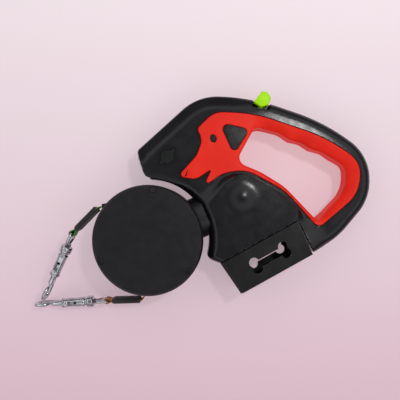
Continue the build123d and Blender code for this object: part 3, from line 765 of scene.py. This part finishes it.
def brake_buttons():
    """Thumb buttons: soft-edged blocks that lean along the handle, with a stem into it."""
    rim = rounded(BUTTON_OUTLINE, 0.7)
    rows = [(2.6, 1.2), (2.8, 0.9), (3.9, 0.1), (4.2, 0.0),
            (11.8, 0.0), (12.1, 0.1), (13.2, 0.9), (13.4, 1.2)]
    points = [(x, y, up) for up, inset in rows for x, y in rim + normals(rim) * inset]
    cap = points, ring_faces(len(rows), len(rim), False)
    stem = [(2.0, 0.0), (2.0, 2.2), (9.7, 2.2), (9.8, 3.5),
            (10.9, 3.5), (11.0, 2.2), (12.3, 2.2), (12.5, 0.0)]
    down = Matrix.Translation((0, 0, 8)) @ Matrix.Rotation(-math.pi / 2, 4, "Z")
    shape = joined(cap, placed(turned(stem, 24), down))
    place = flat_place(BUTTON_AT, math.degrees(BUTTON_TURN), 0)
    for colour, slot, up in (("green", "lime", 1), ("orange", "orange", -1)):
        points = [(x, y, z * up) for x, y, z in placed(shape, place)[0]]
        make_object(f"{colour}_brake_button_cap", points, shape[1], MATERIALS[slot],
                    f"{colour}_brake_button", [f"{colour}_brake_button"], slot, 42)


# ---- leashes ----
def ribbon(line, wide, thick, height):
    """Tape on edge along a line of the plan, with thicker woven selvedges."""
    across = normals(line, False)
    half, edge = wide / 2, thick * 0.62
    quarter = [(edge * 0.6, half), (edge, half - 0.4), (edge, half - 1.1), (thick / 2, half - 1.5)]
    right = [(out, -up) for out, up in quarter] + quarter[::-1]
    left = [(-out, -up) for out, up in right]
    profile = left[-1:] + right + left[:-1]
    points = []
    for (x, y), (nx, ny) in zip(line, across):
        points.extend((x + nx * out, y + ny * out, height + up) for out, up in profile)
    return points, ring_faces(len(line), len(profile), False)


def ahead(start, heading, gap):
    """The point a gap away along a heading in degrees."""
    turn = math.radians(heading)
    return np.array(start) + gap * np.array((math.cos(turn), math.sin(turn)))


def leash_line(leash):
    """Plan of the tape from its coil to inside its sleeve, with eased bends."""
    first = np.array(leash["bends"][0])
    radius = COIL_OUT + 0.25 + TAPE / 2
    angle = math.atan2(first[1], first[0]) - leash["side"] * math.acos(radius / np.linalg.norm(first))
    start = radius * np.array((math.cos(angle), math.sin(angle)))
    corners = [start, *map(np.array, leash["bends"]), ahead(leash["sleeve"], leash["heading"], 12.0)]
    points = [corners[0]]
    for before, corner, after in zip(corners, corners[1:], corners[2:]):
        back, on = before - corner, after - corner
        reach = min(2.0, np.linalg.norm(back) / 2.2, np.linalg.norm(on) / 2.2)
        a, b = corner + back / np.linalg.norm(back) * reach, corner + on / np.linalg.norm(on) * reach
        for t in np.linspace(0, 1, 7):
            points.append((1 - t) ** 2 * a + 2 * t * (1 - t) * corner + t * t * b)
    points.append(corners[-1])
    return divided(np.array(points), 1.5)


def sleeve_shape():
    """Moulded tape end, along x from the case: flattened round, with grip ribs and lipped ends."""
    rows = [(0.0, 0.80), (0.25, 0.94), (0.8, 1.0), (2.0, 1.0), (2.4, 0.93), (2.8, 0.93), (3.2, 0.98)]
    for i in range(7):
        x = 4.2 + 2.6 * i
        rows += [(x, 0.98), (x + 0.35, 0.94), (x + 0.9, 0.94), (x + 1.25, 0.98)]
    rows += [(22.2, 0.98), (22.6, 0.93), (23.0, 0.93), (23.4, 1.0), (24.3, 1.0), (24.8, 0.94),
             (SLEEVE_LONG, 0.80)]
    around, points = 36, []
    for x, share in rows:
        for k in range(around):
            angle = 2 * math.pi * k / around
            c, s = math.cos(angle), math.sin(angle)
            across = 3.0 * share * math.copysign(abs(c) ** 0.55, c)
            up = (7.5 - 3.0 * (1 - share)) * math.copysign(abs(s) ** 0.4, s)
            points.append((x, across, up))
    return points, ring_faces(len(rows), around, False)


def flat_place(start, heading, height):
    """Matrix of a place in the plan whose x runs along a heading."""
    return Matrix.Translation((start[0], start[1], height)) @ Matrix.Rotation(math.radians(heading), 4, "Z")


def loop_line():
    """Tape folded round the snap's bar, along x from it: two tails pressed together and a round end."""
    middle, radius, tail, start = 0.5, 2.35, 0.8, -8.0
    angles = np.radians(np.linspace(108, -108, 25))
    bend = np.stack([middle + radius * np.cos(angles), radius * np.sin(angles)], 1)
    lead = np.array([(start, tail), (-5.4, tail)])
    ease = [bezier(lead[1], (-3.2, tail), (-2.0, 1.5), bend[0], t) for t in np.linspace(0, 1, 6)[1:-1]]
    upper = np.vstack([lead, ease])
    return divided(np.vstack([upper, bend, upper[::-1] * (1, -1)]), 1.2)


def bezier(a, b, c, d, t):
    """A point on a cubic curve."""
    a, b, c, d = map(np.array, (a, b, c, d))
    return (1 - t) ** 3 * a + 3 * t * (1 - t) ** 2 * b + 3 * t * t * (1 - t) * c + t ** 3 * d


def leash_pieces(side, leash):
    """Tape, sleeve, loop and snap of one leash."""
    height = leash["side"] * LAYER
    points, faces = ribbon(leash_line(leash), TAPE_WIDE, TAPE, height)
    make_object(f"{side}_leash_tape", points, faces, MATERIALS[f"tape_{side}"], "reel",
                [f"{side}_leash_lead"], f"tape_{side}", 50)
    body = f"{side}_leash_end"
    shape = placed(sleeve_shape(), flat_place(leash["sleeve"], leash["heading"], height))
    make_object(f"{side}_tape_sleeve", *shape, MATERIALS["sleeve_black"], body,
                [f"{side}_leash_sleeve"], "sleeve_black", 50)
    bar = ahead(leash["sleeve"], leash["heading"], SLEEVE_LONG + BAR_GAP)
    loop = ribbon(loop_line(), TAPE_WIDE - 0.4, TAPE * 0.9, 0)
    shape = placed(loop, flat_place(bar, leash["heading"], height))
    make_object(f"{side}_tape_loop", *shape, MATERIALS[f"tape_{side}"], body,
                [f"{side}_leash_loop"], f"tape_{side}", 50)
    snap_pieces(side, leash, bar)


# ---- snaps, along x from the eye's bar, with the hook in the x-z plane ----
def snap_place(leash, bar):
    """Matrix of a snap that points along its own heading and hangs down a little."""
    heading, droop = math.radians(leash["snap"]), math.radians(leash["droop"])
    level = Vector((math.cos(heading), math.sin(heading), 0))
    upright = Vector((0, 0, 1))
    run = level * math.cos(droop) - upright * math.sin(droop)
    up = level * math.sin(droop) + upright * math.cos(droop)
    turn = Matrix((run, up.cross(run), up)).transposed().to_4x4()
    return Matrix.Translation((bar[0], bar[1], leash["side"] * LAYER)) @ turn


def eye_shape():
    """Triangular eye round the tape and the headed stem that the body turns on."""
    eye = rounded([(0.0, -8.2, 1.8), (8.5, -8.2, 2.4), (13.0, -1.2, 0.5), (13.0, 1.2, 0.5),
                   (8.5, 8.2, 2.4), (0.0, 8.2, 1.8)], 0.7)
    stem = [(10.6, 0.0), (10.6, 1.6), (11.2, 2.5), (12.6, 2.9), (13.4, 2.5), (13.9, 1.95), (17.4, 1.95),
            (17.45, 3.3), (19.0, 3.3), (19.1, 0.0)]
    return joined(swept(eye, 1.45, closed=True), turned(stem, 28))


def cut(shape, low, high):
    """A shape less a box, by a boolean."""
    target, tool = bpy.data.meshes.new("cut"), bpy.data.meshes.new("tool")
    target.from_pydata(shape[0], [], shape[1])
    box = bmesh.new()
    bmesh.ops.create_cube(box, size=1.0)
    size = [b - a for a, b in zip(low, high)]
    middle = [(a + b) / 2 for a, b in zip(low, high)]
    fit = Matrix.Translation(middle) @ Matrix.Diagonal((*size, 1))
    bmesh.ops.transform(box, matrix=fit, verts=box.verts)
    box.to_mesh(tool)
    box.free()
    clean = bmesh.new()
    clean.from_mesh(target)
    bmesh.ops.remove_doubles(clean, verts=clean.verts, dist=0.001)
    bmesh.ops.recalc_face_normals(clean, faces=clean.faces)
    clean.to_mesh(target)
    clean.free()
    piece, cutter = bpy.data.objects.new("cut", target), bpy.data.objects.new("tool", tool)
    for o in (piece, cutter):
        bpy.context.scene.collection.objects.link(o)
    less = piece.modifiers.new("less", "BOOLEAN")
    less.operation, less.solver, less.object = "DIFFERENCE", "EXACT", cutter
    graph = bpy.context.evaluated_depsgraph_get()
    made = bpy.data.meshes.new_from_object(piece.evaluated_get(graph))
    points, faces = [tuple(v.co) for v in made.vertices], [tuple(p.vertices) for p in made.polygons]
    for o in (piece, cutter):
        bpy.data.objects.remove(o)
    return points, faces


def barrel_shape():
    """Swivel cup and bolt barrel, turned in one piece, with the thumb slot along its top."""
    cup = [(14.2, 2.1), (14.2, 4.6), (14.7, 5.3), (15.3, 5.6), (16.5, 5.6), (16.9, 5.15), (17.5, 5.15),
           (17.9, 5.6), (19.7, 5.6), (20.4, 5.2), (20.9, 4.4)]
    barrel = [(21.2, 3.7), (22.2, 3.7), (22.6, 4.4), (23.2, 4.75), (24.4, 4.75), (24.9, 4.3), (28.0, 4.3),
              (43.0, 4.3), (43.3, 4.7), (44.1, 4.85), (44.9, 4.6), (45.2, 4.0)]
    bores = [(45.2, 2.75), (29.0, 2.75), (22.5, 2.75), (22.5, 0.0), (19.7, 0.0), (19.7, 3.45), (17.2, 3.45),
             (17.2, 2.1)]
    return cut(turned(cup + barrel + bores), (30.2, -1.4, 0.3), (42.0, 1.4, 7.0))


def hook_shape():
    """Forged hook, thick at the barrel and tapering to a rounded tip that meets the bolt."""
    line = open_line([(39.0, -3.4, 0), (47.0, -5.4, 8.0), (58.0, -7.3, 8.0), (69.4, -7.3, 5.0),
                      (71.4, 3.8, 4.2), (61.5, 5.2, 3.0), (57.4, 1.2, 0)])
    share = np.linspace(0, 1, len(line))
    radii = 1.75 + 0.45 * np.sin(math.pi * np.clip(share * 1.25, 0, 1))
    radii[-3:] = (1.75, 1.5, 1.0)
    return swept(line, radii, 16)


def bolt_shape():
    """Spring bolt with a domed end, and its ribbed thumb knob."""
    rod = [(33.0, 0.0), (33.0, 2.2), (33.4, 2.6), (53.6, 2.6), (54.6, 2.3), (55.3, 1.6), (55.6, 0.0)]
    knob = [(0.0, 0.0), (0.0, 1.15), (5.4, 1.15), (5.6, 2.0), (5.9, 2.25), (6.3, 2.05), (6.5, 2.25),
            (6.9, 2.05), (7.1, 2.15), (7.4, 1.7), (7.5, 0.0)]
    upright = Matrix.Translation((40.4, 0, 0)) @ Matrix.Rotation(-math.pi / 2, 4, "Y")
    return joined(turned(rod, 28), placed(turned(knob, 28), upright))


def snap_pieces(side, leash, bar):
    """Eye, body and bolt of one snap, whose eye is held by the bar."""
    place = snap_place(leash, bar)
    chrome = MATERIALS["bolt_chrome"]
    make_object(f"{side}_snap_eye_forged", *placed(eye_shape(), place), chrome, f"{side}_snap_eye",
                [f"{side}_snap_eye"], "bolt_chrome", 40)
    make_object(f"{side}_snap_body_cast", *placed(joined(barrel_shape(), hook_shape()), place), chrome,
                f"{side}_snap", [f"{side}_snap_body"], "bolt_chrome", 40)
    make_object(f"{side}_snap_bolt_turned", *placed(bolt_shape(), place), chrome, f"{side}_snap_bolt",
                [f"{side}_snap_bolt"], "bolt_chrome", 40)


def drawer_rail():
    """T rail under the body that the bag drawer slides on."""
    profile = [(28.5, -5.9), (30.3, -5.9), (30.3, -3.0), (34.4, -3.0),
               (34.4, 3.0), (30.3, 3.0), (30.3, 5.9), (28.5, 5.9)]
    points = [(x, y, z) for x in (14.0, 66.0) for y, z in profile]
    place = flat_place(DRAWER_AT, math.degrees(DRAWER_TURN), 0)
    rail = make_object("drawer_rail", *placed((points, ring_faces(2, len(profile), False)), place),
                       MATERIALS["shell"], "handle", (), "shell", 30)
    soften = rail.modifiers.new("round", "BEVEL")
    soften.width, soften.segments, soften.limit_method = 0.3 * MM, 2, "ANGLE"


# ---- studio ----
def stage():
    """Pink floor sheet with painted shade that deepens it towards the viewer; its own faint painted glow
    keeps the shadows soft and pale.
    """
    material, shader, place, add = node_material("floor_paper_painted_light")
    across = add("ShaderNodeSeparateXYZ", {"Vector": place}).outputs["Y"]
    share = add("ShaderNodeMapRange", {"Value": across, "From Min": -0.16, "From Max": 0.23})
    fleck = add("ShaderNodeTexNoise", {"Vector": place, "Scale": 900.0})
    bump = add("ShaderNodeBump", {"Height": fleck.outputs["Fac"], "Distance": 0.00003, "Strength": 0.3})
    # painted falloff: the tint darkens towards low y, and the same colour glows as painted light
    paper_with_painted_falloff = tinted(add, share.outputs["Result"], (0.46, 0.328, 0.378), (0.57, 0.502, 0.528))
    plug(material, shader, Base_Color=paper_with_painted_falloff, Emission_Color=paper_with_painted_falloff, Emission_Strength=0.75,
         Roughness=0.9, Specular_IOR_Level=0.1, Normal=bump.outputs["Normal"])
    mesh = bpy.data.meshes.new("floor")
    mesh.from_pydata([(-3, -3, 0), (3, -3, 0), (3, 3, 0), (-3, 3, 0)], [], [(0, 1, 2, 3)])
    mesh.materials.append(material)
    floor = bpy.data.objects.new("floor", mesh)
    bpy.context.scene.collection.objects.link(floor)


def area_light(name, at, aim, size, watts):
    """Round lamp, in metres and watts, that faces its aim."""
    data = bpy.data.lights.new(name, "AREA")
    data.shape, data.size, data.energy = "DISK", size, watts
    lamp = bpy.data.objects.new(name, data)
    lamp.location = at
    lamp.rotation_mode = "QUATERNION"
    lamp.rotation_quaternion = (Vector(aim) - Vector(at)).to_track_quat("-Z", "Y")
    bpy.context.scene.collection.objects.link(lamp)


def studio_air():
    """Soft surround: brightest half way up, dimmer overhead and towards the horizon."""
    world = bpy.data.worlds.new("studio")
    bpy.context.scene.world = world
    world.use_nodes = True
    tree = world.node_tree
    way = tree.nodes.new("ShaderNodeTexCoord")
    split = tree.nodes.new("ShaderNodeSeparateXYZ")
    ramp = tree.nodes.new("ShaderNodeValToRGB")
    stops = [(0.0, 0.10), (0.40, 0.30), (0.62, 1.15), (0.80, 1.25), (0.93, 0.50), (1.0, 0.30)]
    while len(ramp.color_ramp.elements) < len(stops):
        ramp.color_ramp.elements.new(0.5)
    for element, (place, level) in zip(ramp.color_ramp.elements, stops):
        element.position = place
        element.color = (level, level * 0.985, level * 0.995, 1)
    tree.links.new(way.outputs["Generated"], split.inputs[0])
    tree.links.new(split.outputs["Z"], ramp.inputs[0])
    tree.links.new(ramp.outputs[0], tree.nodes["Background"].inputs["Color"])
    tree.nodes["Background"].inputs["Strength"].default_value = 0.82


def camera():
    """Looks straight down on the leash."""
    data = bpy.data.cameras.new("camera")
    data.lens, data.sensor_width = 45.5, 36.0
    lens = bpy.data.objects.new("camera", data)
    lens.location = (0.0474, 0.0367, 0.504)
    bpy.context.scene.collection.objects.link(lens)
    bpy.context.scene.camera = lens
    bpy.context.scene.view_settings.view_transform = "Standard"


handle_halves()
finish_nodes()
drawer_rail()
brake_buttons()
for colour, route in LEASHES.items():
    leash_pieces(colour, route)
stage()
studio_air()
area_light("key", (0.274, 0.220, 0.697), (0.075, 0.035, 0.02), 0.07, 1.05)
camera()
